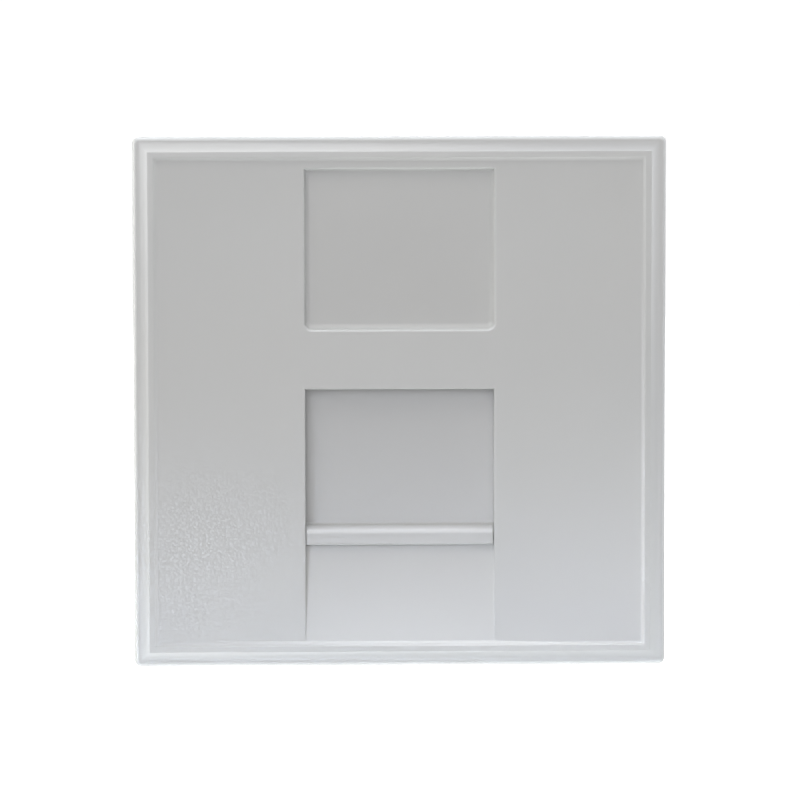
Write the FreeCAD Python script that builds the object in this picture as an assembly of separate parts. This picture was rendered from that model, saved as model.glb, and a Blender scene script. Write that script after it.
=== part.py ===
import FreeCAD, Part
import math
import os

# Keystone faceplate for a 45 mm frame: a front moulding, a spring-loaded sliding shutter and a rear
# carrier that holds the keystone jack. Millimetres. X points right, Z up, and the face looks along -Y.
# The origin is the centre of the module in its seat plane, where the flange rests on the frame.

# ---- Driving dimensions -------------------------------------------------------------------------

# Square face: a flat margin, a raised bead with sloped sides, and a recessed panel inside it
FACE_WIDTH = 45.0
FACE_HEIGHT = 45.0
FLANGE_THICK = 3.0
FACE_CORNER_RADIUS = 0.55
FACE_EDGE_RADIUS = 0.35
MARGIN_WIDTH = 0.75
BEAD_OUTER_RUN = 0.5
BEAD_TOP_WIDTH = 0.5
BEAD_INNER_RUN = 0.38
BEAD_RISE = 0.45
BEAD_EDGE_RADIUS = 0.1
PANEL_DROP = 0.4
PANEL_THICK = 1.55

# Label pocket in the upper half of the panel
LABEL_WIDTH = 16.0
LABEL_HEIGHT = 13.55
LABEL_DEPTH = 0.9
LABEL_TOP_GAP = 0.65
LABEL_CORNER_RADIUS = 0.6
LABEL_FLOOR_RADIUS = 0.45
LABEL_RIM_RADIUS = 0.22

# Port window, and the finger ramp that rises from its lower edge to the bead
PORT_WIDTH = 16.0
PORT_TOP_Z = 1.1
PORT_HEIGHT = 13.35
PORT_RIM_RADIUS = 0.12
RAMP_DEPTH = 0.85
RAMP_END_DEPTH = 0.2

# Skirt that enters the frame's opening, and the snap clips cut out of its top and bottom walls
SEAT_WIDTH_SIDE = 0.7
SEAT_WIDTH_TOP = 1.7
SKIRT_WALL = 1.2
SKIRT_DEPTH = 8.5
SKIRT_CORNER_RADIUS = 1.0
SKIRT_LEAD_IN = 0.4
CLIP_WIDTH = 6.0
CLIP_SPACING = 29.0
CLIP_SLOT = 1.0
CLIP_ROOT = 1.4
FRAME_THICK = 2.0
CATCH_GAP = 0.1
CATCH_REACH = 1.0
CATCH_LENGTH = 2.8
CATCH_CREST = 0.4

# Sliding shutter with its grip bar
SHUTTER_OVERLAP = 1.2
SHUTTER_TAIL = 0.8
SHUTTER_THICK = 1.2
SHUTTER_CORNER_RADIUS = 0.5
BAR_HEIGHT = 1.63
BAR_SIDE_GAP = 0.25
BAR_SET_BACK = 0.1
BAR_EDGE_RADIUS = 0.22
BAR_GROOVE_WIDTH = 0.9
BAR_GROOVE_DEPTH = 0.1

# Return spring and its seats
SPRING_DIAMETER = 3.0
SPRING_WIRE = 0.25
SPRING_WIRE_SIDES = 6
SPRING_ACTIVE_TURNS = 10
SPRING_CLOSED_TURNS = 1
SPRING_CLOSED_PITCH = 0.3
SPRING_SEAT_THICK = 1.0
SPRING_CAP_THICK = 0.9
SPRING_PEG_DIAMETER = 1.7
SPRING_PEG_LENGTH = 1.4
SPRING_GAP = 0.2
CHANNEL_WALL = 0.9

# Keystone receptacle: a tunnel with a slot for the fixed lug below and a latch pocket above
JACK_WIDTH = 14.9
JACK_HEIGHT = 16.5
JACK_DEPTH = 10.0
JACK_WALL = 1.2
LATCH_POCKET_START = 4.0
LATCH_POCKET_END = 8.0
LATCH_POCKET_HEIGHT = 2.8
LATCH_PASSAGE = 0.8
LATCH_LEAD_IN = 0.7
LUG_SLOT_START = 6.4
LUG_SLOT_END = 8.7
LUG_SLOT_HEIGHT = 1.6

# Carrier plate, the rails that guide the shutter, and the barbs that lock the carrier between them
CARRIER_PLATE = 1.5
CARRIER_CORNER_RADIUS = 1.5
RAIL_WALL = 1.2
RAIL_REACH = 1.2
RAIL_LEAD_IN = 0.4
BARB_LENGTH = 4.0
BARB_REACH = 0.6
BARB_BASE = 1.2
BARB_HIGH_Z = 12.0
BARB_LOW_Z = -9.0
TONGUE_MARGIN = 0.8
TONGUE_SLOT = 0.6
RIB_THICK = 1.0
RIB_HEIGHT = 1.4

# Running gaps
SLIDE_GAP = 0.1
STOP_GAP = 0.05
PAD_GAP = 0.2
SNAP_GAP = 0.1

# ---- Places that follow from them ---------------------------------------------------------------

MARGIN_Y = -FLANGE_THICK
BEAD_Y = MARGIN_Y - BEAD_RISE
PANEL_Y = BEAD_Y + PANEL_DROP
PANEL_BACK_Y = PANEL_Y + PANEL_THICK
SHUTTER_FRONT_Y = PANEL_BACK_Y + SLIDE_GAP
SHUTTER_BACK_Y = SHUTTER_FRONT_Y + SHUTTER_THICK
CARRIER_Y = SHUTTER_BACK_Y + SLIDE_GAP
PLATE_BACK_Y = CARRIER_Y + CARRIER_PLATE
CARRIER_BACK_Y = CARRIER_Y + JACK_DEPTH
BAR_FRONT_Y = PANEL_Y + BAR_SET_BACK
RAIL_BACK_Y = PLATE_BACK_Y + RAIL_REACH

BEAD_OUTER_INSET = MARGIN_WIDTH + BEAD_OUTER_RUN
BEAD_INNER_INSET = BEAD_OUTER_INSET + BEAD_TOP_WIDTH
PANEL_INSET = BEAD_INNER_INSET + BEAD_INNER_RUN
PANEL_TOP_Z = FACE_HEIGHT / 2 - PANEL_INSET
PANEL_BOTTOM_Z = -PANEL_TOP_Z

LABEL_TOP_Z = PANEL_TOP_Z - LABEL_TOP_GAP
LABEL_BOTTOM_Z = LABEL_TOP_Z - LABEL_HEIGHT

PORT_BOTTOM_Z = PORT_TOP_Z - PORT_HEIGHT
BAR_BOTTOM_Z = PORT_BOTTOM_Z + STOP_GAP
BAR_TOP_Z = BAR_BOTTOM_Z + BAR_HEIGHT
SHUTTER_TRAVEL = PORT_TOP_Z - STOP_GAP - BAR_TOP_Z
JACK_CENTRE_Z = (PORT_TOP_Z - BAR_HEIGHT + PORT_BOTTOM_Z) / 2
JACK_TOP_Z = JACK_CENTRE_Z + JACK_HEIGHT / 2
JACK_BOTTOM_Z = JACK_CENTRE_Z - JACK_HEIGHT / 2

SHUTTER_HALF_WIDTH = PORT_WIDTH / 2 + SHUTTER_OVERLAP
SHUTTER_BOTTOM_Z = BAR_BOTTOM_Z - SHUTTER_TAIL
SHUTTER_TOP_Z = max(PORT_TOP_Z + SHUTTER_OVERLAP, JACK_TOP_Z + SLIDE_GAP + SPRING_SEAT_THICK)

SKIRT_WIDTH = FACE_WIDTH - 2 * SEAT_WIDTH_SIDE
SKIRT_HEIGHT = FACE_HEIGHT - 2 * SEAT_WIDTH_TOP
HOLLOW_WIDTH = SKIRT_WIDTH - 2 * SKIRT_WALL
HOLLOW_HEIGHT = SKIRT_HEIGHT - 2 * SKIRT_WALL

RAIL_X = SHUTTER_HALF_WIDTH + SLIDE_GAP
RAIL_OUTER_X = RAIL_X + RAIL_WALL
CARRIER_HALF_WIDTH = RAIL_X - SNAP_GAP
CARRIER_TOP_Z = HOLLOW_HEIGHT / 2 - PAD_GAP
CARRIER_BOTTOM_Z = JACK_BOTTOM_Z - LUG_SLOT_HEIGHT - JACK_WALL
UPPER_PAD_Z = SHUTTER_TOP_Z + SHUTTER_TRAVEL + PAD_GAP

SPRING_Y = SHUTTER_FRONT_Y + SPRING_DIAMETER / 2
SPRING_TOP_Z = CARRIER_TOP_Z - SPRING_CAP_THICK
CHANNEL_RADIUS = SPRING_DIAMETER / 2 + SPRING_GAP
CHANNEL_OUTER_RADIUS = CHANNEL_RADIUS + CHANNEL_WALL

# Length by which a cutting tool stands clear of the surface that it cuts, and the depth to which the
# root of a rib or wall runs into the wall that carries it
CLEAR = 1.0
ROOT = 0.3


# ---- Helpers ------------------------------------------------------------------------------------

def vector(x, y, z):
    return FreeCAD.Vector(x, y, z)


def block(x0, x1, y0, y1, z0, z1):
    """Box between two opposite corners."""
    return Part.makeBox(x1 - x0, y1 - y0, z1 - z0, vector(x0, y0, z0))


def plate(width, height, y0, y1, radius):
    """Upright plate centred on the Y axis, with rounded corners seen from the front."""
    body = block(-width / 2, width / 2, y0, y1, -height / 2, height / 2)
    return rounded(body, radius, lambda edge: runs_along(edge, "y"))


def rectangle(width, height, y):
    """Closed rectangle on the plane at depth y, centred on the Y axis."""
    x, z = width / 2, height / 2
    corners = [vector(-x, y, -z), vector(x, y, -z), vector(x, y, z), vector(-x, y, z)]
    return Part.makePolygon(corners + corners[:1])


def frustum(near_inset, far_inset, near_y, far_y):
    """Four-sided frustum whose ends are the face's outline drawn in by the two insets."""
    near = rectangle(FACE_WIDTH - 2 * near_inset, FACE_HEIGHT - 2 * near_inset, near_y)
    far = rectangle(FACE_WIDTH - 2 * far_inset, FACE_HEIGHT - 2 * far_inset, far_y)
    return Part.makeLoft([near, far], True, True)


def side_profile(points, x0, x1):
    """Outline of (y, z) points carried along X."""
    corners = [vector(x0, y, z) for y, z in points]
    face = Part.Face(Part.makePolygon(corners + corners[:1]))
    return face.extrude(vector(x1 - x0, 0, 0))


def plan_profile(points, z0, z1):
    """Outline of (x, y) points carried along Z."""
    corners = [vector(x, y, z0) for x, y in points]
    face = Part.Face(Part.makePolygon(corners + corners[:1]))
    return face.extrude(vector(0, 0, z1 - z0))


def upright(radius, y, z0, z1):
    """Vertical cylinder on the plane x = 0."""
    return Part.makeCylinder(radius, z1 - z0, vector(0, y, z0), vector(0, 0, 1))


def runs_along(edge, axis):
    """True for a straight edge parallel to the named axis."""
    if not isinstance(edge.Curve, (Part.Line, Part.LineSegment)):
        return False
    direction = (edge.Vertexes[1].Point - edge.Vertexes[0].Point).normalize()
    return abs(abs(getattr(direction, axis)) - 1) < 1e-6


def lies_on(edge, axis, value):
    """True when every corner and the middle of the edge have this coordinate."""
    points = [vertex.Point for vertex in edge.Vertexes]
    points.append(edge.valueAt((edge.FirstParameter + edge.LastParameter) / 2))
    return all(abs(getattr(point, axis) - value) < 1e-4 for point in points)


def within(edge, x0, x1, z0, z1):
    """True when the edge lies inside the window seen from the front."""
    box = edge.BoundBox
    slack = 1e-3
    across = box.XMin > x0 - slack and box.XMax < x1 + slack
    return across and box.ZMin > z0 - slack and box.ZMax < z1 + slack


def rounded(shape, radius, wanted):
    """The shape with the wanted edges rounded."""
    return shape.makeFillet(radius, [edge for edge in shape.Edges if wanted(edge)])


def chamfered(shape, size, wanted):
    """The shape with the wanted edges bevelled."""
    return shape.makeChamfer(size, [edge for edge in shape.Edges if wanted(edge)])


def mirrored(shape):
    """The same shape on the other side of the plane x = 0."""
    return shape.mirror(vector(0, 0, 0), vector(1, 0, 0))


def one_solid(shape):
    """The single solid of a finished piece, with faces in one plane merged."""
    return shape.removeSplitter().Solids[0]


# ---- Faceplate ----------------------------------------------------------------------------------

def face_block():
    """Flange with a rounded outer edge, the raised bead and the recessed panel."""
    flange = plate(FACE_WIDTH, FACE_HEIGHT, MARGIN_Y, 0, FACE_CORNER_RADIUS)
    flange = rounded(flange, FACE_EDGE_RADIUS, lambda edge: lies_on(edge, "y", MARGIN_Y))
    bead = frustum(MARGIN_WIDTH, BEAD_OUTER_INSET, MARGIN_Y, BEAD_Y)
    recess = frustum(BEAD_INNER_INSET, PANEL_INSET, BEAD_Y, PANEL_Y)
    face = flange.fuse(bead).cut(recess)
    return rounded(face, BEAD_EDGE_RADIUS, lambda edge: lies_on(edge, "y", BEAD_Y))


def label_pocket():
    """Cutting tool: a tray with rounded lower corners and a soft floor edge."""
    half = LABEL_WIDTH / 2
    floor_y = PANEL_Y + LABEL_DEPTH
    tray = block(-half, half, PANEL_Y - CLEAR, floor_y, LABEL_BOTTOM_Z, LABEL_TOP_Z)
    tray = rounded(
        tray,
        LABEL_CORNER_RADIUS,
        lambda edge: runs_along(edge, "y") and lies_on(edge, "z", LABEL_BOTTOM_Z),
    )
    return rounded(tray, LABEL_FLOOR_RADIUS, lambda edge: lies_on(edge, "y", floor_y))


def port_cut():
    """Cutting tool: the window through the panel and the ramp below it."""
    half = PORT_WIDTH / 2
    window = block(-half, half, PANEL_Y - CLEAR, PANEL_BACK_Y + CLEAR, PORT_BOTTOM_Z, PORT_TOP_Z)
    ramp = side_profile(
        [
            (PANEL_Y - CLEAR, PORT_BOTTOM_Z),
            (PANEL_Y + RAMP_DEPTH, PORT_BOTTOM_Z),
            (PANEL_Y + RAMP_END_DEPTH, PANEL_BOTTOM_Z),
            (PANEL_Y - CLEAR, PANEL_BOTTOM_Z),
        ],
        -half,
        half,
    )
    return window.fuse(ramp)


def hollow(front_y):
    """Cutting tool: the space inside the skirt, open at the rear."""
    x, z = HOLLOW_WIDTH / 2, HOLLOW_HEIGHT / 2
    return block(-x, x, front_y, SKIRT_DEPTH + CLEAR, -z, z)


def skirt():
    """Rectangular tube behind the flange, with a bevelled rear edge."""
    outer = plate(SKIRT_WIDTH, SKIRT_HEIGHT, PANEL_BACK_Y, SKIRT_DEPTH, SKIRT_CORNER_RADIUS)
    outer = chamfered(outer, SKIRT_LEAD_IN, lambda edge: lies_on(edge, "y", SKIRT_DEPTH))
    return outer.cut(hollow(PANEL_BACK_Y - CLEAR))


def clip_places():
    """Centre x and side (top or bottom) of each snap clip."""
    return [(x * CLIP_SPACING / 2, side) for x in (-1, 1) for side in (-1, 1)]


def clip_slots(x, side):
    """Cutting tool: the two slots that free one clip, each with a round root."""
    slots = []
    for hand in (-1, 1):
        centre = x + hand * (CLIP_WIDTH + CLIP_SLOT) / 2
        root_y = CLIP_ROOT + CLIP_SLOT / 2
        z0, z1 = sorted((side * HOLLOW_HEIGHT / 2 - side * CLEAR / 2, side * (SKIRT_HEIGHT / 2 + CLEAR)))
        slot = block(centre - CLIP_SLOT / 2, centre + CLIP_SLOT / 2, root_y, SKIRT_DEPTH + CLEAR, z0, z1)
        root = Part.makeCylinder(CLIP_SLOT / 2, z1 - z0, vector(centre, root_y, z0), vector(0, 0, 1))
        slots.append(slot.fuse(root))
    return slots[0].fuse(slots[1])


def clip_catch(x, side):
    """Wedge on the outside of a clip: a square face to the frame and a long ramp behind it."""
    wall = side * SKIRT_HEIGHT / 2
    crest = side * (SKIRT_HEIGHT / 2 + CATCH_REACH)
    catch_y = FRAME_THICK + CATCH_GAP
    points = [
        (catch_y, wall - side * ROOT),
        (catch_y, crest),
        (catch_y + CATCH_CREST, crest),
        (catch_y + CATCH_LENGTH, wall),
        (catch_y + CATCH_LENGTH, wall - side * ROOT),
    ]
    return side_profile(points, x - CLIP_WIDTH / 2, x + CLIP_WIDTH / 2)


def rail():
    """Right-hand rail: it guides the shutter and grips the carrier. Its rear inner edge leads in."""
    points = [
        (RAIL_X, PANEL_BACK_Y - ROOT),
        (RAIL_OUTER_X, PANEL_BACK_Y - ROOT),
        (RAIL_OUTER_X, RAIL_BACK_Y),
        (RAIL_X + RAIL_LEAD_IN, RAIL_BACK_Y),
        (RAIL_X, RAIL_BACK_Y - RAIL_LEAD_IN),
    ]
    reach = HOLLOW_HEIGHT / 2 + ROOT
    bar = plan_profile(points, -reach, reach)
    for z in (BARB_LOW_Z, BARB_HIGH_Z):
        bar = bar.cut(barb_window(z))
    return bar


def barb_window(z):
    """Cutting tool: the hole for one barb and the slots that make a springy tongue around it."""
    x0, x1 = RAIL_X - CLEAR / 2, RAIL_OUTER_X + CLEAR / 2
    half = BARB_LENGTH / 2 + SNAP_GAP
    tool = block(x0, x1, CARRIER_Y - SNAP_GAP, CARRIER_Y + BARB_BASE + SNAP_GAP, z - half, z + half)
    inner = half + TONGUE_MARGIN
    for z0 in (z - inner - TONGUE_SLOT, z + inner):
        slot = block(x0, x1, CARRIER_Y - SNAP_GAP, RAIL_BACK_Y + CLEAR, z0, z0 + TONGUE_SLOT)
        tool = tool.fuse(slot)
    return tool


def pads():
    """Raised pads on the back of the panel that set the shutter's room in front of the carrier."""
    front_y = PANEL_BACK_Y - ROOT
    edge_x = RAIL_X + ROOT
    lower = block(-edge_x, edge_x, front_y, CARRIER_Y, CARRIER_BOTTOM_Z, SHUTTER_BOTTOM_Z - PAD_GAP)
    reach = HOLLOW_HEIGHT / 2 + ROOT
    inner_x = CHANNEL_OUTER_RADIUS + SPRING_GAP
    upper = block(inner_x, edge_x, front_y, CARRIER_Y, UPPER_PAD_Z, reach)
    return lower.fuse(upper).fuse(mirrored(upper))


def stiffener():
    """Low rib from the right-hand rail to the skirt."""
    x0, x1 = RAIL_OUTER_X - ROOT, HOLLOW_WIDTH / 2 + ROOT
    y0, y1 = PANEL_BACK_Y - ROOT, PANEL_BACK_Y + RIB_HEIGHT
    return block(x0, x1, y0, y1, -RIB_THICK / 2, RIB_THICK / 2)


def on_label_rim(edge):
    half = LABEL_WIDTH / 2
    inside = within(edge, -half, half, LABEL_BOTTOM_Z, LABEL_TOP_Z)
    return inside and lies_on(edge, "y", PANEL_Y)


def on_port_rim(edge):
    half = PORT_WIDTH / 2
    inside = within(edge, -half, half, PANEL_BOTTOM_Z, PORT_TOP_Z)
    return inside and lies_on(edge, "y", PANEL_Y)


def faceplate():
    """The front moulding, in one piece."""
    body = face_block().cut(label_pocket()).cut(port_cut())
    body = rounded(body, LABEL_RIM_RADIUS, on_label_rim)
    body = rounded(body, PORT_RIM_RADIUS, on_port_rim)
    body = body.cut(hollow(PANEL_BACK_Y)).fuse(skirt())
    for x, side in clip_places():
        body = body.cut(clip_slots(x, side)).fuse(clip_catch(x, side))
    for piece in (rail(), mirrored(rail()), stiffener(), mirrored(stiffener()), pads()):
        body = body.fuse(piece)
    return one_solid(body)


# ---- Shutter ------------------------------------------------------------------------------------

def grip_bar():
    """Bar across the foot of the shutter, with rounded edges and a shallow finger groove."""
    half = PORT_WIDTH / 2 - BAR_SIDE_GAP
    bar = block(-half, half, BAR_FRONT_Y, SHUTTER_BACK_Y, BAR_BOTTOM_Z, BAR_TOP_Z)
    bar = rounded(bar, BAR_EDGE_RADIUS, lambda edge: lies_on(edge, "y", BAR_FRONT_Y))
    middle_z = (BAR_BOTTOM_Z + BAR_TOP_Z) / 2
    radius = (BAR_GROOVE_WIDTH ** 2 / 4 + BAR_GROOVE_DEPTH ** 2) / (2 * BAR_GROOVE_DEPTH)
    centre = vector(-half - CLEAR, BAR_FRONT_Y + BAR_GROOVE_DEPTH - radius, middle_z)
    return bar.cut(Part.makeCylinder(radius, 2 * (half + CLEAR), centre, vector(1, 0, 0)))


def shutter():
    """Flat slide with the grip bar in front and the spring seat and peg on top."""
    half = SHUTTER_HALF_WIDTH
    slide = block(-half, half, SHUTTER_FRONT_Y, SHUTTER_BACK_Y, SHUTTER_BOTTOM_Z, SHUTTER_TOP_Z)
    slide = rounded(slide, SHUTTER_CORNER_RADIUS, lambda edge: runs_along(edge, "y"))
    seat_z = SHUTTER_TOP_Z - SPRING_SEAT_THICK
    seat_half = SPRING_DIAMETER / 2
    seat = upright(seat_half, SPRING_Y, seat_z, SHUTTER_TOP_Z)
    seat = seat.fuse(block(-seat_half, seat_half, SHUTTER_FRONT_Y, SPRING_Y, seat_z, SHUTTER_TOP_Z))
    peg = upright(SPRING_PEG_DIAMETER / 2, SPRING_Y, seat_z, SHUTTER_TOP_Z + SPRING_PEG_LENGTH)
    return one_solid(slide.fuse(grip_bar()).fuse(seat).fuse(peg))


# ---- Return spring ------------------------------------------------------------------------------

def spring_height(turn):
    """Height of the wire's centre above the spring's foot after a number of turns.

    The first and last turns lie almost closed, and the active turns between share the rest evenly.
    """
    total = SPRING_ACTIVE_TURNS + 2 * SPRING_CLOSED_TURNS
    closed_rise = SPRING_CLOSED_TURNS * SPRING_CLOSED_PITCH
    free = SPRING_TOP_Z - SHUTTER_TOP_Z - SPRING_WIRE - 2 * closed_rise
    if turn < SPRING_CLOSED_TURNS:
        rise = SPRING_CLOSED_PITCH * turn
    elif turn > total - SPRING_CLOSED_TURNS:
        rise = closed_rise + free + SPRING_CLOSED_PITCH * (turn - total + SPRING_CLOSED_TURNS)
    else:
        rise = closed_rise + free * (turn - SPRING_CLOSED_TURNS) / SPRING_ACTIVE_TURNS
    return SPRING_WIRE / 2 + rise


def wire_section(centre, along):
    """Outline of the wire at one end: a few flat sides for the round wire, flat above and below."""
    outward = vector(1, 0, 0)
    upward = outward.cross(along)
    corner_radius = SPRING_WIRE / 2 / math.cos(math.pi / SPRING_WIRE_SIDES)
    corners = []
    for side in range(SPRING_WIRE_SIDES):
        angle = 2 * math.pi * side / SPRING_WIRE_SIDES
        corners.append(centre + (outward * math.cos(angle) + upward * math.sin(angle)) * corner_radius)
    return Part.makePolygon(corners + corners[:1])


def shutter_spring():
    """Wire swept along the coil, from the shutter's seat to the cap of the carrier."""
    radius = (SPRING_DIAMETER - SPRING_WIRE) / 2
    total = SPRING_ACTIVE_TURNS + 2 * SPRING_CLOSED_TURNS
    steps_per_turn = 12
    points = []
    for step in range(total * steps_per_turn + 1):
        turn = step / steps_per_turn
        angle = 2 * math.pi * turn
        z = SHUTTER_TOP_Z + spring_height(turn)
        points.append(vector(radius * math.cos(angle), SPRING_Y + radius * math.sin(angle), z))
    coil = Part.BSplineCurve()
    coil.interpolate(points)
    section = wire_section(points[0], coil.tangent(coil.FirstParameter)[0])
    return Part.Wire([coil.toShape()]).makePipeShell([section], True, True)


# ---- Jack carrier -------------------------------------------------------------------------------

def carrier_plate():
    """Flat frame between the rails that closes the shutter's room from behind."""
    half = CARRIER_HALF_WIDTH
    frame = block(-half, half, CARRIER_Y, PLATE_BACK_Y, CARRIER_BOTTOM_Z, CARRIER_TOP_Z)
    return rounded(frame, CARRIER_CORNER_RADIUS, lambda edge: runs_along(edge, "y"))


def receptacle_shell():
    """Outside of the jack tunnel: it steps out behind the latch pocket and round the lug slot."""
    top_step = CARRIER_Y + LATCH_POCKET_START - JACK_WALL
    bottom_step = CARRIER_Y + LUG_SLOT_START - JACK_WALL
    points = [
        (CARRIER_Y, JACK_TOP_Z + JACK_WALL),
        (top_step, JACK_TOP_Z + JACK_WALL),
        (top_step, JACK_TOP_Z + LATCH_POCKET_HEIGHT + JACK_WALL),
        (CARRIER_BACK_Y, JACK_TOP_Z + LATCH_POCKET_HEIGHT + JACK_WALL),
        (CARRIER_BACK_Y, CARRIER_BOTTOM_Z),
        (bottom_step, CARRIER_BOTTOM_Z),
        (bottom_step, JACK_BOTTOM_Z - JACK_WALL),
        (CARRIER_Y, JACK_BOTTOM_Z - JACK_WALL),
    ]
    half = JACK_WIDTH / 2 + JACK_WALL
    return side_profile(points, -half, half)


def receptacle_space():
    """Cutting tool: the tunnel, the latch pocket with its rear passage, and the lug slot."""
    half = JACK_WIDTH / 2
    pocket_end = CARRIER_Y + LATCH_POCKET_END
    passage_z = JACK_TOP_Z + LATCH_PASSAGE
    points = [
        (CARRIER_Y - CLEAR, JACK_TOP_Z),
        (CARRIER_Y + LATCH_POCKET_START, JACK_TOP_Z),
        (CARRIER_Y + LATCH_POCKET_START, JACK_TOP_Z + LATCH_POCKET_HEIGHT),
        (pocket_end, JACK_TOP_Z + LATCH_POCKET_HEIGHT),
        (pocket_end, passage_z),
        (CARRIER_BACK_Y - LATCH_LEAD_IN, passage_z),
        (CARRIER_BACK_Y, passage_z + LATCH_LEAD_IN),
        (CARRIER_BACK_Y + CLEAR, passage_z + LATCH_LEAD_IN),
        (CARRIER_BACK_Y + CLEAR, JACK_BOTTOM_Z),
        (CARRIER_Y + LUG_SLOT_END, JACK_BOTTOM_Z),
        (CARRIER_Y + LUG_SLOT_END, JACK_BOTTOM_Z - LUG_SLOT_HEIGHT),
        (CARRIER_Y + LUG_SLOT_START, JACK_BOTTOM_Z - LUG_SLOT_HEIGHT),
        (CARRIER_Y + LUG_SLOT_START, JACK_BOTTOM_Z),
        (CARRIER_Y - CLEAR, JACK_BOTTOM_Z),
    ]
    return side_profile(points, -half, half)


def spring_housing():
    """Half-round back of the spring channel, closed by a cap at the top."""
    foot_z = JACK_TOP_Z
    outer = CHANNEL_OUTER_RADIUS
    tube = upright(outer, SPRING_Y, foot_z, CARRIER_TOP_Z)
    behind = block(-outer, outer, CARRIER_Y, SPRING_Y + outer, foot_z, CARRIER_TOP_Z)
    cap = block(-outer, outer, SHUTTER_FRONT_Y, SPRING_Y, SPRING_TOP_Z, CARRIER_TOP_Z)
    return tube.common(behind).fuse(cap)


def spring_space():
    """Cutting tool: the channel that the spring and the shutter's seat run in."""
    foot_z = JACK_TOP_Z - CLEAR
    bore = upright(CHANNEL_RADIUS, SPRING_Y, foot_z, SPRING_TOP_Z)
    mouth = block(-CHANNEL_RADIUS, CHANNEL_RADIUS, CARRIER_Y - CLEAR, SPRING_Y, foot_z, SPRING_TOP_Z)
    return bore.fuse(mouth)


def barb(z):
    """Right-hand barb: a slope that meets the rail first and a square face that locks behind it."""
    points = [
        (CARRIER_HALF_WIDTH - ROOT, CARRIER_Y),
        (CARRIER_HALF_WIDTH, CARRIER_Y),
        (CARRIER_HALF_WIDTH + BARB_REACH, CARRIER_Y + BARB_BASE),
        (CARRIER_HALF_WIDTH - ROOT, CARRIER_Y + BARB_BASE),
    ]
    return plan_profile(points, z - BARB_LENGTH / 2, z + BARB_LENGTH / 2)


def jack_carrier():
    """The rear frame: keystone receptacle, spring channel and snap barbs, in one piece."""
    body = carrier_plate().fuse(receptacle_shell()).fuse(spring_housing())
    body = body.cut(receptacle_space()).cut(spring_space())
    peg_foot_z = SPRING_TOP_Z - SPRING_PEG_LENGTH
    body = body.fuse(upright(SPRING_PEG_DIAMETER / 2, SPRING_Y, peg_foot_z, CARRIER_TOP_Z))
    for z in (BARB_LOW_Z, BARB_HIGH_Z):
        body = body.fuse(barb(z)).fuse(mirrored(barb(z)))
    return one_solid(body)


# ---- Output -------------------------------------------------------------------------------------

PIECES = {
    "faceplate": faceplate,
    "shutter": shutter,
    "shutter_spring": shutter_spring,
    "jack_carrier": jack_carrier,
}

os.makedirs("parts", exist_ok=True)
for name, make in PIECES.items():
    make().exportStep("parts/" + name + ".step")
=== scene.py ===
# %% [markdown]
# # A snap-in faceplate for a keystone jack
#
# The part is a square front moulding that clips into a 45 mm frame. A small shutter slides up behind
# its window and lets a plug into the jack, and a spring pushes the shutter down again. The solids come
# ready made, at their real size and place. This lesson dresses them: it sets up a camera, a stage and
# soft light, softens the edges of the mouldings, gives them the finish of moulded ABS, redraws the
# shutter's grip bar, and makes the spring as a smooth wire of drawn steel.

# %% Load the solids
import math

import bpy
import bmesh
import numpy as np
from mathutils import Matrix, Vector


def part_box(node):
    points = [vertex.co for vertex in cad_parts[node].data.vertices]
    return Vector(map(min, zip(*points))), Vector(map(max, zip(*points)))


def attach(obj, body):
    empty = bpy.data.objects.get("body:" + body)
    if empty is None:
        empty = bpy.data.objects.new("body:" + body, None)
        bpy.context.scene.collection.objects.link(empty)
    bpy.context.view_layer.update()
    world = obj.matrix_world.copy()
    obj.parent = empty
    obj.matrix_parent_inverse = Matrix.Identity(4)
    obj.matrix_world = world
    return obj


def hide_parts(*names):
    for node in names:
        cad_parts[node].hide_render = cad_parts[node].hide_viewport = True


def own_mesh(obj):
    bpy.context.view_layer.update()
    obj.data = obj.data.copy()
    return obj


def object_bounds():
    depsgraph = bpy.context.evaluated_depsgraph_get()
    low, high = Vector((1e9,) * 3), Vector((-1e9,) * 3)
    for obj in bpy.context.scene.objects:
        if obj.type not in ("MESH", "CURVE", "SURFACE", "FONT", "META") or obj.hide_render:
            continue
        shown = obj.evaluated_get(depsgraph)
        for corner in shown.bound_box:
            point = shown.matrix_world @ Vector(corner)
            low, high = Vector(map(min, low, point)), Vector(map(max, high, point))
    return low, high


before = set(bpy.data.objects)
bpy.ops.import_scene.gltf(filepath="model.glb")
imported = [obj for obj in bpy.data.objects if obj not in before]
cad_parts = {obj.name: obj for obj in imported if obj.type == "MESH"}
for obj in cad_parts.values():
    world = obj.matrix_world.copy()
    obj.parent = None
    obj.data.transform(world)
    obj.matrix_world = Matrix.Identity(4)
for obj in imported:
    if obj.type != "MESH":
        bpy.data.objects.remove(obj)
solid_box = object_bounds()
MM = 0.001
print("solids:", sorted(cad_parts))
print("box in mm:", [[round(value / MM, 2) for value in corner] for corner in solid_box])

# %% [markdown]
# ## The camera
#
# A small square object shows its bevels best through a long lens from a little above, because its sides
# then stay parallel and its upper edges catch the light. The camera's place is written as two angles and
# a distance, as a photographer would say it: almost straight on, six degrees above, half a metre away.
# The matrix is built from three axes, and a tiny roll stands for a tripod that isn't quite level.

# %% Place the camera
AZIMUTH = math.radians(-1.58)
ELEVATION = math.radians(5.98)
ROLL = math.radians(-0.066)
DISTANCE = 507.3 * MM
AIM = Vector((0.02, -3.0, 0.18)) * MM
LENS = 270.0
NEAREST_SEEN = 10 * MM
FURTHEST_SEEN = 20.0

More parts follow.
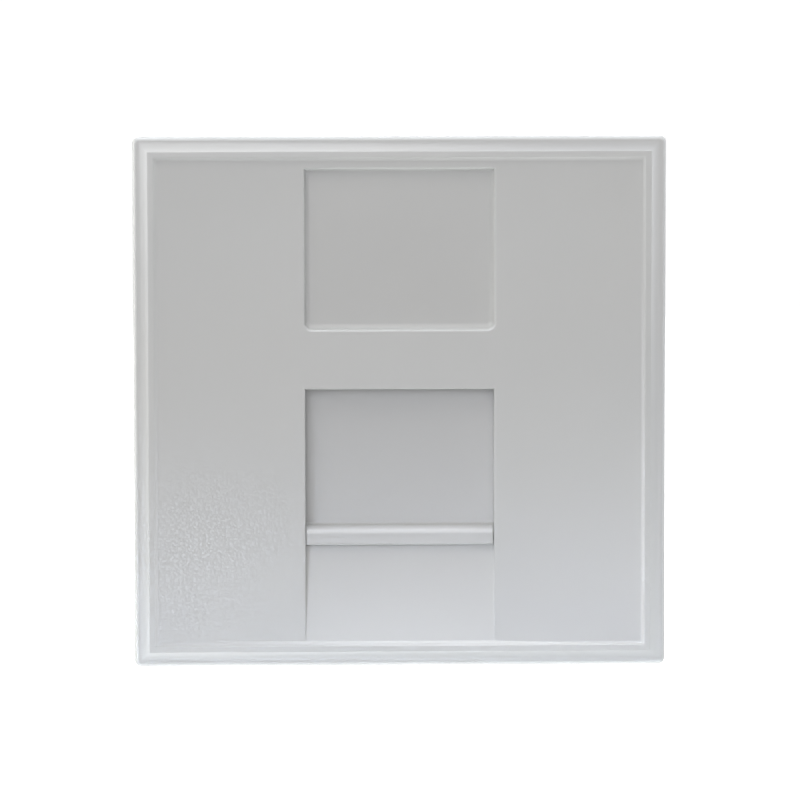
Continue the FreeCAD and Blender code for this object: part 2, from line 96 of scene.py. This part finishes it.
backward = Vector((
    math.sin(AZIMUTH) * math.cos(ELEVATION),
    -math.cos(AZIMUTH) * math.cos(ELEVATION),
    math.sin(ELEVATION),
))
level_right = Vector((math.cos(AZIMUTH), math.sin(AZIMUTH), 0))
level_up = backward.cross(level_right)
right = math.cos(ROLL) * level_right + math.sin(ROLL) * level_up
up = math.cos(ROLL) * level_up - math.sin(ROLL) * level_right
camera = bpy.data.objects.new("camera", bpy.data.cameras.new("camera"))
turned = Matrix((right, up, backward)).transposed().to_4x4()
camera.matrix_world = Matrix.Translation(AIM + DISTANCE * backward) @ turned
camera.data.lens = LENS
camera.data.clip_start = NEAREST_SEEN
camera.data.clip_end = FURTHEST_SEEN
bpy.context.scene.collection.objects.link(camera)
bpy.context.scene.camera = camera
bpy.context.scene.view_settings.view_transform = "Standard"
print("camera at", [round(value, 3) for value in camera.matrix_world.translation])

# %% [markdown]
# ## Four helpers for materials
#
# Paint charts and web pages give a colour as six hex digits in sRGB, while the shader works with linear
# light, so one function turns the first into the second. A node with its settings and links takes one
# call of `add`, which keeps a material readable as a list of steps. The stage and the world must look
# brighter than the light they give, so both ask whether a ray is one that the eye follows.

# %% Colour and node helpers
def linear(hex_code):
    """RGBA in linear light from a hex code: below 0.04045 divide by 12.92, above it the 2.4 power."""
    encoded = np.array([int(hex_code[i:i + 2], 16) for i in (1, 3, 5)]) / 255
    low = encoded / 12.92
    high = ((encoded + 0.055) / 1.055) ** 2.4
    return (*np.where(encoded <= 0.04045, low, high).tolist(), 1.0)


def add(tree, kind, settings=None, **inputs):
    """One node: settings are its properties, inputs are numbers or the sockets that feed it.

    An input is named by its label with underscores for spaces, or as in_0, in_1 by its place.
    """
    node = tree.nodes.new(kind)
    for name, value in (settings or {}).items():
        setattr(node, name, value)
    for name, value in inputs.items():
        place = int(name[3:]) if name.startswith("in_") else name.replace("_", " ")
        socket = node.inputs[place]
        if isinstance(value, bpy.types.NodeSocket):
            tree.links.new(value, socket)
        else:
            socket.default_value = value
    return node


def empty_material(name):
    """A material whose tree holds only its output."""
    material = bpy.data.materials.new(name)
    material.use_nodes = True
    material.node_tree.nodes.clear()
    output = material.node_tree.nodes.new("ShaderNodeOutputMaterial")
    return material, material.node_tree, output


def seen_ray(tree):
    """Socket that is 1 for rays the eye follows: straight, off a gloss or through glass. Otherwise 0."""
    paths = add(tree, "ShaderNodeLightPath").outputs
    seen = add(tree, "ShaderNodeMath", {"operation": "MAXIMUM"}, in_0=paths["Is Camera Ray"],
               in_1=paths["Is Glossy Ray"])
    seen = add(tree, "ShaderNodeMath", {"operation": "MAXIMUM"}, in_0=seen.outputs[0],
               in_1=paths["Is Transmission Ray"])
    return seen.outputs[0]


print("middle grey in linear light:", round(linear("#808080")[0], 3))

# %% [markdown]
# ## The stage
#
# A white sweep is a floor that turns up into a wall with no corner, so that no line shows behind the
# object. It is a profile carried along X: flat, then a quarter circle, then upright. The eye sees it
# brighter than the lamps make it, the more so the further it is from the object. That turns the
# background white and leaves the floor under the object as it is lit, with its soft shadow. The sheet's
# under side lets the eye through, so that the object can also be looked at from below.

# %% Sweep
FLOOR_DROP = 60 * MM
SWEEP_FRONT = -1.2
SWEEP_BEND_START = 0.9
SWEEP_RADIUS = 0.6
SWEEP_TOP = 1.6
SWEEP_HALF_WIDTH = 2.4
SWEEP_STEPS = 24


def sweep_mesh(floor_z):
    """Profile (y, z): a level run, a quarter circle y = s + r sin a, z = f + r (1 - cos a), a rise."""
    angle = np.linspace(0, np.pi / 2, SWEEP_STEPS)
    bend_y = SWEEP_BEND_START + SWEEP_RADIUS * np.sin(angle)
    bend_z = floor_z + SWEEP_RADIUS * (1 - np.cos(angle))
    y = np.concatenate([[SWEEP_FRONT], bend_y, [bend_y[-1]]])
    z = np.concatenate([[floor_z], bend_z, [floor_z + SWEEP_TOP]])
    left = np.stack([np.full_like(y, -SWEEP_HALF_WIDTH), y, z], axis=1)
    right_side = left * [-1, 1, 1]
    count = len(y)
    first = np.arange(count - 1)
    quads = np.stack([first, first + count, first + count + 1, first + 1], axis=1)
    mesh = bpy.data.meshes.new("sweep")
    mesh.from_pydata(np.concatenate([left, right_side]), [], quads)
    mesh.shade_smooth()
    return mesh


floor_z = solid_box[0][2] - FLOOR_DROP
sweep = bpy.data.objects.new("sweep", sweep_mesh(floor_z))
bpy.context.scene.collection.objects.link(sweep)
print("floor at z =", round(floor_z / MM, 1), "mm")

# %% Sweep paper
# strengths of the lift, and the distances from the object in metres between which it grows
PAPER_COLOUR = "#E6E6E6"
LIFT_NEAR = 0.1
LIFT_FAR = 0.85
LIFT_STARTS = 0.1
LIFT_ENDS = 0.35

material, tree, output = empty_material("white_paper")
place = add(tree, "ShaderNodeTexCoord").outputs["Object"]
away = add(tree, "ShaderNodeVectorMath", {"operation": "LENGTH"}, in_0=place).outputs["Value"]
amount = add(tree, "ShaderNodeMapRange", {"interpolation_type": "SMOOTHSTEP"}, Value=away,
             From_Min=LIFT_STARTS, From_Max=LIFT_ENDS, To_Min=LIFT_NEAR, To_Max=LIFT_FAR)
strength = add(tree, "ShaderNodeMath", {"operation": "MULTIPLY"}, in_0=seen_ray(tree),
               in_1=amount.outputs[0])
paper = add(tree, "ShaderNodeBsdfDiffuse", Color=linear(PAPER_COLOUR))
lift = add(tree, "ShaderNodeEmission", Color=linear("#FFFFFF"), Strength=strength.outputs[0])
sheet = add(tree, "ShaderNodeAddShader", in_0=paper.outputs[0], in_1=lift.outputs[0])
under_side = add(tree, "ShaderNodeNewGeometry").outputs["Backfacing"]
open_below = add(tree, "ShaderNodeBsdfTransparent")
either = add(tree, "ShaderNodeMixShader", in_0=under_side, in_1=sheet.outputs[0],
             in_2=open_below.outputs[0])
tree.links.new(either.outputs[0], output.inputs["Surface"])
sweep.data.materials.append(material)
print("sweep paper ready, lifted by", LIFT_NEAR, "under the object and", LIFT_FAR, "away from it")

# %% [markdown]
# ## The light
#
# White plastic on white paper shows its form only where the light on its flats and its bevels differs.
# So the large boxes give no more than an even base: two in front, one above, and one behind for the
# back of the part. Then come four narrow strips in the plane of the face. They graze the flats and
# catch each bevel: most from above, from below and from the left, and less from the right. A weak cool
# beam lifts the foot of the face, and a faint fill from the world keeps the recesses open. The strips
# spare the sweep by light linking, as if it were the clear plate of a shooting table: they neither burn
# it out nor are held back by it, so it keeps the object's shadow, and one strip can stand below it.

# %% World
FILL_COLOUR = "#F4F5F8"
FILL_STRENGTH = 0.12

world = bpy.data.worlds.new("studio")
bpy.context.scene.world = world
world.use_nodes = True
tree = world.node_tree
tree.nodes.clear()
fill = add(tree, "ShaderNodeBackground", Color=linear(FILL_COLOUR), Strength=FILL_STRENGTH)
white = add(tree, "ShaderNodeBackground", Color=linear("#FFFFFF"), Strength=1.0)
both = add(tree, "ShaderNodeMixShader", in_0=seen_ray(tree), in_1=fill.outputs[0],
           in_2=white.outputs[0])
add(tree, "ShaderNodeOutputWorld", Surface=both.outputs[0])
print("world fill strength:", FILL_STRENGTH)

# %% Lamps
CENTRE = (0, 0, 0)
# the beam aims just below the face, so that its soft edge fades out over the lower half
FACE_FOOT = (0, 0, -0.028)
WIDE_OPEN = 180
NARROW_BEAM = 11.5

spared = bpy.data.collections.new("spared_by_the_strips")
spared.objects.link(sweep)
spared.collection_objects[0].light_linking.link_state = "EXCLUDE"


def softbox(name, place, aim, size, power, hex_code, beam=WIDE_OPEN, spares_sweep=False):
    """Area lamp of a width and height, turned at its place to look at the aim. Metres, watts, degrees."""
    lamp = bpy.data.lights.new(name, "AREA")
    lamp.shape = "RECTANGLE"
    lamp.size, lamp.size_y = size
    lamp.energy = power
    lamp.color = linear(hex_code)[:3]
    lamp.spread = math.radians(beam)
    holder = bpy.data.objects.new(name, lamp)
    turned = (Vector(aim) - Vector(place)).to_track_quat("-Z", "Y").to_matrix().to_4x4()
    holder.matrix_world = Matrix.Translation(place) @ turned
    holder.visible_camera = False
    if spares_sweep:
        holder.light_linking.receiver_collection = spared
        holder.light_linking.blocker_collection = spared
    bpy.context.scene.collection.objects.link(holder)


def strip(name, place, aim, size, power, hex_code, beam=WIDE_OPEN):
    """A softbox that spares the sweep."""
    softbox(name, place, aim, size, power, hex_code, beam, spares_sweep=True)


softbox("front_box", (-0.2, -1.2, 0.35), CENTRE, (0.6, 0.4), 4.1, "#F8F8FF")
softbox("upper_box", (-0.2, -0.5, 0.5), CENTRE, (0.6, 0.4), 1.25, "#FFFCF6")
softbox("top_box", (0, -0.08, 0.5), CENTRE, (0.7, 0.5), 1.1, "#FFFFFB")
softbox("back_box", (0, 0.9, 0.2), CENTRE, (0.6, 0.4), 3.4, "#FFFFFF")
strip("top_strip", (0, -0.02, 0.45), CENTRE, (0.5, 0.06), 1.4, "#EEF3FF")
strip("left_strip", (-0.5, 0, 0.05), CENTRE, (0.12, 0.4), 1.55, "#FFFFFC")
strip("right_strip", (0.5, 0, 0.05), CENTRE, (0.12, 0.4), 0.8, "#F6F9FF")
strip("bottom_strip", (0, -0.02, -0.45), CENTRE, (0.5, 0.06), 1.7, "#F9FFFF")
strip("foot_strip", (-0.13, -0.24, -0.065), FACE_FOOT, (0.24, 0.02), 0.0104, "#E1ECFF", NARROW_BEAM)

# %% [markdown]
# ## The plastic
#
# Wiring accessories are injection moulded in ABS, a hard plastic that is dyed right through, so an edge
# has the colour of the face. A flat colour would look dead, because no moulding is even: the melt leaves
# faint clouds where it cooled at its own pace, the gloss drifts with them, and the spark-eroded steel of
# the mould prints a fine grain. A little light also enters thin walls and softens their edges. Noise
# textures on Object coordinates give each of these at its own real size.

# %% Moulded ABS
CLOUD_SIZE = 14 * MM
GLOSS_PATCH = 5 * MM
ABS_IOR = 1.53
ABS_GLOSS_DRIFT = 0.03
ABS_DEPTH_OF_LIGHT = 0.5 * MM
ABS_SHARE_OF_DEEP_LIGHT = 0.12


def moulded_abs(name, light_shade, deep_shade, roughness, grain_size, grain_height):
    """Two near shades in soft clouds, gloss that drifts, and the mould's grain in relief."""
    material, tree, output = empty_material(name)
    place = add(tree, "ShaderNodeTexCoord").outputs["Object"]
    clouds = add(tree, "ShaderNodeTexNoise", Vector=place, Scale=1 / CLOUD_SIZE, Detail=3.0)
    shade = add(tree, "ShaderNodeMix", {"data_type": "RGBA"}, in_0=clouds.outputs[0],
                in_6=linear(light_shade), in_7=linear(deep_shade))
    patches = add(tree, "ShaderNodeTexNoise", Vector=place, Scale=1 / GLOSS_PATCH, Detail=2.0)
    gloss = add(tree, "ShaderNodeMapRange", Value=patches.outputs[0],
                To_Min=roughness - ABS_GLOSS_DRIFT, To_Max=roughness + ABS_GLOSS_DRIFT)
    grain = add(tree, "ShaderNodeTexNoise", Vector=place, Scale=1 / grain_size, Detail=2.0)
    relief = add(tree, "ShaderNodeBump", Height=grain.outputs[0], Distance=grain_height)
    shader = add(tree, "ShaderNodeBsdfPrincipled", Base_Color=shade.outputs[2],
                 Roughness=gloss.outputs[0], IOR=ABS_IOR, Normal=relief.outputs[0],
                 Subsurface_Weight=ABS_SHARE_OF_DEEP_LIGHT, Subsurface_Radius=(1.0, 1.0, 1.0),
                 Subsurface_Scale=ABS_DEPTH_OF_LIGHT)
    tree.links.new(shader.outputs[0], output.inputs["Surface"])
    return material


# The front and the shutter come from polished moulds with a satin grain. The real grain is about
# 0.05 mm wide and is drawn coarser so that it shows. The carrier's mould was left as it was eroded.
front_abs = moulded_abs("satin_abs_front", "#CACAC8", "#C5C6C5", 0.38, 0.16 * MM, 0.0012 * MM)
shutter_abs = moulded_abs("satin_abs_shutter", "#C9C9C8", "#C4C5C5", 0.36, 0.16 * MM, 0.0012 * MM)
carrier_abs = moulded_abs("eroded_abs_carrier", "#C6C6C3", "#BFBFBC", 0.5, 0.22 * MM, 0.004 * MM)
print("plastics:", front_abs.name, shutter_abs.name, carrier_abs.name)

# %% [markdown]
# ## The mouldings
#
# The solids have the right form, but their skins are loose triangles, so every fillet shows its facets
# and every other edge is razor sharp. No moulding is: steel is milled with a radius, and plastic shrinks
# away from a corner. So each solid gives a copy whose triangles are joined, whose flat faces are single
# faces, and whose free outside edges are rounded by less than a tenth of a millimetre. Normals weighted
# by area keep a large flat face flat up to the round edge beside it.

# %% Joined copies with soft edges
EDGE_RADIUS = 0.08 * MM
SHORTEST_EDGE = 0.2 * MM
EDGE_STEPS = 3
SHARP_ABOVE = math.radians(35)
ROUNDED_ABOVE = math.radians(25)
SAME_PLACE = 0.001 * MM
SAME_PLANE = math.radians(0.5)


def flat_faces(shape):
    """Merges the corners that touching triangles share, then the triangles that lie in one plane."""
    bmesh.ops.remove_doubles(shape, verts=shape.verts, dist=SAME_PLACE)
    bmesh.ops.dissolve_limit(shape, angle_limit=SAME_PLANE, verts=shape.verts, edges=shape.edges)


def soften(shape):
    """Rounds each outside edge that turns enough to be seen and has room for the radius."""
    short = [edge for edge in shape.edges if edge.calc_length() < SHORTEST_EDGE]
    cramped = {corner for edge in short for corner in edge.verts}
    picked = [
        edge for edge in shape.edges
        if edge.is_convex and edge.calc_face_angle() > ROUNDED_ABOVE and not cramped & set(edge.verts)
    ]
    bmesh.ops.bevel(shape, geom=picked, offset=EDGE_RADIUS, segments=EDGE_STEPS, profile=0.5,
                    affect="EDGES", clamp_overlap=False)
    return len(picked)


def moulding(node, name, material, body, carve=None, extra=None):
    """A copy of one solid as a single skin, with soft edges and shading that keeps flat faces flat.

    carve is a step that reshapes the copy first, and extra a mesh that joins it at the end.
    """
    shape = bmesh.new()
    shape.from_mesh(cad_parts[node].data)
    flat_faces(shape)
    if carve:
        carve(shape)
    rounded_edges = soften(shape)
    if extra:
        shape.from_mesh(extra)
    mesh = bpy.data.meshes.new(name)
    shape.to_mesh(mesh)
    shape.free()
    mesh.materials.append(material)
    mesh.shade_smooth()
    mesh.set_sharp_from_angle(angle=SHARP_ABOVE)
    piece = bpy.data.objects.new(name, mesh)
    bpy.context.scene.collection.objects.link(piece)
    normals = piece.modifiers.new("flat faces stay flat", "WEIGHTED_NORMAL")
    normals.keep_sharp = True
    normals.weight = 100
    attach(piece, body)
    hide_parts(node)
    print(name, "has", len(mesh.polygons), "faces and", rounded_edges, "softened edges")
    return piece


# %% [markdown]
# ## The front moulding and the carrier
#
# Two details of the face are finer than the solid's fillets allow. The finger ramp under the window runs
# out flush with the panel, so that its side edges fade away before they reach the bead: the copy has the
# ramp's lower end drawn up, and its floor follows as one flat face. And from the crest of the bead
# outwards the rim falls away by a few degrees, which is why it is a little paler than the panel.

# %% Front moulding and carrier
PANEL_BEHIND_BEAD = 0.4 * MM
RAMP_HALF_WIDTH = 8.2 * MM
RAMP_END_ABOVE_FOOT = 2.2 * MM
RAMP_END_DEPTH = 0.25 * MM
RAMP_END_LEFT = 0.1
RIM_WIDTH = 1.7 * MM
RIM_ROUND = 0.9 * MM
RIM_FALL = 0.08


def finish_face(shape):
    """Two moves of the corners: the ramp's end comes up to the panel, and the rim falls back.

    At the ramp's end the depth under the panel becomes a tenth. On the rim y grows by 0.08 r, with r the
    way outwards from the crest of the bead.
    """
    low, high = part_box("faceplate")
    panel_y = low.y + PANEL_BEHIND_BEAD
    crest = high.x - RIM_WIDTH
    for corner in shape.verts:
        x, y, z = corner.co
        depth = y - panel_y
        past_crest = max(abs(x), abs(z)) - crest
        if abs(x) < RAMP_HALF_WIDTH and z < low.z + RAMP_END_ABOVE_FOOT and 0 < depth < RAMP_END_DEPTH:
            corner.co.y = panel_y + RAMP_END_LEFT * depth
        elif past_crest > 0 and y < low.y + RIM_ROUND:
            corner.co.y += RIM_FALL * past_crest


front = moulding("faceplate", "front_moulding", front_abs, "housing", finish_face)
carrier = moulding("jack_carrier", "rear_carrier", carrier_abs, "housing")

# %% [markdown]
# ## The shutter and its grip bar
#
# A fingertip pushes the shutter up by a bar across its foot. The solid has that bar as a plain block with
# small edges, but the real one is kind to the finger: its upper edge is a broad round, its front is
# slightly hollow, its ends are round, and it fills the window from side to side. So the copy of the
# shutter loses its block, and a new bar is worked out as one closed section carried along X. The foot
# of the section lies inside the shutter, so that the two shells overlap and no gap shows.

# %% Section of the grip bar
SHUTTER_TAIL = 0.8 * MM
SHUTTER_OVERLAP = 1.2 * MM
BAR_HEIGHT = 1.63 * MM
BAR_PROUD = 1.55 * MM
BAR_TOP_ROUND = 0.6 * MM
BAR_FOOT_ROUND = 0.22 * MM
BAR_END_ROUND = 0.2 * MM
BAR_ROOT = 0.2 * MM
BAR_SIDE_GAP = 0.03 * MM
BAR_SUNK = 0.3 * MM
HOLLOW_DEPTH = 0.015 * MM
ROUND_STEPS = 10

shutter_low, shutter_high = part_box("shutter")
shutter_face_y = shutter_low.y + BAR_PROUD
bar_low_z = shutter_low.z + SHUTTER_TAIL
bar_high_z = bar_low_z + BAR_HEIGHT
bar_half = (shutter_high.x - shutter_low.x) / 2 - SHUTTER_OVERLAP - BAR_SIDE_GAP


def bar_section():
    """Points (z, out) from above the bar down to below it, out being the height over the shutter.

    A hollow quarter circle r (1 - sin t, 1 - cos t) leads to a quarter ellipse, then the front dips by
    d cos^2, and a quarter circle leads down. The first and the last point lie inside the shutter.
    """
    t = np.linspace(0, np.pi / 2, ROUND_STEPS)
    root = np.stack([bar_high_z + BAR_ROOT * (1 - np.sin(t)), BAR_ROOT * (1 - np.cos(t))], axis=1)
    over = np.stack([bar_high_z - BAR_TOP_ROUND * (1 - np.cos(t)),
                     BAR_ROOT + (BAR_PROUD - BAR_ROOT) * np.sin(t)], axis=1)
    across = np.linspace(-1, 1, 2 * ROUND_STEPS)[1:-1]
    front_high = bar_high_z - BAR_TOP_ROUND
    front_low = bar_low_z + BAR_FOOT_ROUND
    front_z = (front_high + front_low) / 2 - across * (front_high - front_low) / 2
    front = np.stack([front_z, BAR_PROUD - HOLLOW_DEPTH * np.cos(across * np.pi / 2) ** 2], axis=1)
    foot = np.stack([bar_low_z + BAR_FOOT_ROUND * (1 - np.sin(t)),
                     BAR_PROUD - BAR_FOOT_ROUND * (1 - np.cos(t))], axis=1)
    sunk = np.array([[bar_high_z + BAR_ROOT, -BAR_SUNK], [bar_low_z, -BAR_SUNK]])
    return np.concatenate([sunk[:1], root, over[1:], front, foot, sunk[1:]])


section = bar_section()
print("bar section:", len(section), "points,", round((bar_high_z - bar_low_z) / MM, 2), "mm high")

# %% Bar as a mesh
def bar_mesh(name):
    """The section carried along X, its height scaled by 1 - drop / proud near the ends.

    drop = r (1 - sin a) at x = half - r (1 - cos a), a quarter circle in plan, for a from 0 to 90 degrees.
    """
    a = np.linspace(0, np.pi / 2, ROUND_STEPS)
    end_x = bar_half - BAR_END_ROUND * (1 - np.cos(a))
    end_drop = BAR_END_ROUND * (1 - np.sin(a))
    x = np.concatenate([-end_x, end_x[::-1]])
    drop = np.concatenate([end_drop, end_drop[::-1]])
    z, out = section.T
    height = np.where(out > 0, out * (1 - drop[:, None] / BAR_PROUD), out)
    points = np.stack([np.broadcast_to(x[:, None], height.shape), shutter_face_y - height,
                       np.broadcast_to(z, height.shape)], axis=-1)
    rows, columns = height.shape
    i, j = np.meshgrid(np.arange(rows - 1), np.arange(columns), indexing="ij")
    following = (j + 1) % columns
    quads = np.stack([i * columns + j, i * columns + following, (i + 1) * columns + following,
                      (i + 1) * columns + j], axis=-1).reshape(-1, 4)
    caps = [np.arange(columns)[::-1].tolist(), ((rows - 1) * columns + np.arange(columns)).tolist()]
    mesh = bpy.data.meshes.new(name)
    mesh.from_pydata(points.reshape(-1, 3), [], [*quads.tolist(), *caps])
    return mesh


def take_off_bar(shape):
    """Deletes every face in front of the shutter's face and closes the hole that the block leaves."""
    front_y = shutter_face_y - 10 * SAME_PLACE
    block = [face for face in shape.faces if min(corner.co.y for corner in face.verts) < front_y]
    bmesh.ops.delete(shape, geom=block, context="FACES")
    rim = [edge for edge in shape.edges if edge.is_boundary]
    bmesh.ops.holes_fill(shape, edges=rim)
    flat_faces(shape)


bar = bar_mesh("grip_bar")
shutter = moulding("shutter", "sliding_shutter", shutter_abs, "slide", take_off_bar, bar)
bpy.data.meshes.remove(bar)
print("bar is", round(2 * bar_half / MM, 2), "mm wide")

# %% [markdown]
# ## The return spring
#
# A compression spring is hard round wire wound on a mandrel. Its first and last turns lie almost closed,
# so that it stands square on its seat, and the turns between share the rest. Its solid has a wire with
# six flat sides. Here the wire is round: a circle carried along the coil, worked out as one grid of
# points. The spring sits behind the face, between the shutter and the cap of its channel, and when the
# shutter rises it is pressed to about a quarter of its length.

# %% Path of the wire
WIRE = 0.25 * MM
ACTIVE_TURNS = 10
CLOSED_TURNS = 1
CLOSED_PITCH = 0.3 * MM
STEPS_PER_TURN = 48
WIRE_SIDES = 14

spring_low, spring_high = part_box("shutter_spring")
spring_y = (spring_low.y + spring_high.y) / 2
# the solid's wire is a hexagon with a corner outwards, at the wire's radius over cos 30 degrees
coil_radius = (spring_high.x - spring_low.x) / 2 - WIRE / 2 / math.cos(math.pi / 6)


def coil_path():
    """Centre of the wire: radius times (cos a, sin a), with a height that sums a changing pitch.

    The pitch is the closed one for a turn at each end and blends into the active one over half a turn.
    """
    turns = ACTIVE_TURNS + 2 * CLOSED_TURNS
    turn = np.linspace(0, turns, turns * STEPS_PER_TURN + 1)
    from_end = np.minimum(turn, turns - turn)
    blend = np.clip((from_end - CLOSED_TURNS) * 2 + 0.5, 0, 1)
    open_part = blend * blend * (3 - 2 * blend)
    climb = spring_high.z - spring_low.z - WIRE
    open_sum = np.concatenate([[0], np.cumsum((open_part[1:] + open_part[:-1]) / 2)])
    height = CLOSED_PITCH * turn + (climb - CLOSED_PITCH * turns) * open_sum / open_sum[-1]
    angle = 2 * np.pi * turn
    out = np.stack([np.cos(angle), np.sin(angle), np.zeros_like(angle)], axis=1)
    path = coil_radius * out
    path[:, 1] += spring_y
    path[:, 2] = spring_low.z + WIRE / 2 + height
    return path, out


wire_path, wire_out = coil_path()
wire_length = np.linalg.norm(np.diff(wire_path, axis=0), axis=1).sum()
print("wire length:", round(wire_length / MM, 1), "mm in", len(wire_path), "steps")

# %% Wire as a tube
def tube_points(path, outward, radius, sides):
    """Circles carried along a path: p + r (cos v n + sin v b), then the path's two ends.

    t is the path's direction, n the outward direction square to t, and b is t crossed with n.
    """
    t = np.gradient(path, axis=0)
    t /= np.linalg.norm(t, axis=1, keepdims=True)
    n = outward - (outward * t).sum(axis=1, keepdims=True) * t
    n /= np.linalg.norm(n, axis=1, keepdims=True)
    b = np.cross(t, n)
    v = np.linspace(0, 2 * np.pi, sides, endpoint=False)[None, :, None]
    rings = path[:, None] + radius * (np.cos(v) * n[:, None] + np.sin(v) * b[:, None])
    return np.concatenate([rings.reshape(-1, 3), path[:1], path[-1:]])


def tube_faces(count, sides):
    """Squares between neighbouring circles, then a fan of triangles over each end."""
    i, j = np.meshgrid(np.arange(count - 1), np.arange(sides), indexing="ij")
    following = (j + 1) % sides
    quads = np.stack([i * sides + j, (i + 1) * sides + j, (i + 1) * sides + following,
                      i * sides + following], axis=-1).reshape(-1, 4)
    side = np.arange(sides)
    ahead = (side + 1) % sides
    last = (count - 1) * sides
    start_fan = np.stack([np.full(sides, count * sides), side, ahead], axis=1)
    end_fan = np.stack([np.full(sides, count * sides + 1), last + ahead, last + side], axis=1)
    return [*quads.tolist(), *start_fan.tolist(), *end_fan.tolist()]


def tube_uv(path, radius, sides):
    """UV of each face corner in metres: the length along the wire, and the way around it. Fans have 0."""
    along = np.concatenate([[0], np.cumsum(np.linalg.norm(np.diff(path, axis=0), axis=1))])
    i, j = np.meshgrid(np.arange(len(path) - 1), np.arange(sides), indexing="ij")
    u = np.stack([along[i], along[i + 1], along[i + 1], along[i]], axis=-1).reshape(-1)
    w = np.stack([j, j, j + 1, j + 1], axis=-1).reshape(-1) * 2 * np.pi * radius / sides
    fans = np.zeros((2 * 3 * sides, 2))
    return np.concatenate([np.stack([u, w], axis=1), fans])


def tube_mesh(name, path, outward, radius, sides):
    """Round wire along a path, shaded smooth, with its own UV map."""
    mesh = bpy.data.meshes.new(name)
    mesh.from_pydata(tube_points(path, outward, radius, sides), [], tube_faces(len(path), sides))
    layer = mesh.uv_layers.new(name="along_wire")
    layer.data.foreach_set("uv", tube_uv(path, radius, sides).reshape(-1))
    mesh.shade_smooth()
    mesh.set_sharp_from_angle(angle=SHARP_ABOVE)
    return mesh


print("one ring of the wire has", WIRE_SIDES, "points")

# %% [markdown]
# ## The wire's finish
#
# Spring wire is drawn through dies, which leaves fine lines along it and a bright, slightly grey
# surface. The lines follow the wire, so this material reads the wire's own UV map, stretched so that one
# streak is long and narrow. Metal keeps the shader's default IOR.

# %% Drawn spring steel
STREAK_LENGTH = 3.0 * MM
STREAK_WIDTH = 0.03 * MM
STREAK_HEIGHT = 0.001 * MM
STEEL_LIGHT = "#C9C7C2"
STEEL_DEEP = "#A5A39E"
STEEL_GLOSSIEST = 0.2
STEEL_DULLEST = 0.36


def drawn_steel(name):
    """Bright metal with long narrow streaks in its colour, its gloss and its relief."""
    material, tree, output = empty_material(name)
    place = add(tree, "ShaderNodeUVMap", {"uv_map": "along_wire"}).outputs[0]
    stretched = add(tree, "ShaderNodeMapping", Vector=place,
                    Scale=(1 / STREAK_LENGTH, 1 / STREAK_WIDTH, 1))
    streaks = add(tree, "ShaderNodeTexNoise", Vector=stretched.outputs[0], Scale=1.0, Detail=3.0)
    shade = add(tree, "ShaderNodeMix", {"data_type": "RGBA"}, in_0=streaks.outputs[0],
                in_6=linear(STEEL_LIGHT), in_7=linear(STEEL_DEEP))
    gloss = add(tree, "ShaderNodeMapRange", Value=streaks.outputs[0],
                To_Min=STEEL_GLOSSIEST, To_Max=STEEL_DULLEST)
    relief = add(tree, "ShaderNodeBump", Height=streaks.outputs[0], Distance=STREAK_HEIGHT)
    shader = add(tree, "ShaderNodeBsdfPrincipled", Base_Color=shade.outputs[2], Metallic=1.0,
                 Roughness=gloss.outputs[0], Normal=relief.outputs[0])
    tree.links.new(shader.outputs[0], output.inputs["Surface"])
    return material


spring_mesh = tube_mesh("return_spring", wire_path, wire_out, WIRE / 2, WIRE_SIDES)
spring_mesh.materials.append(drawn_steel("drawn_spring_steel"))
spring = bpy.data.objects.new("return_spring", spring_mesh)
bpy.context.scene.collection.objects.link(spring)
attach(spring, "housing")
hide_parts("shutter_spring")
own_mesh(spring)
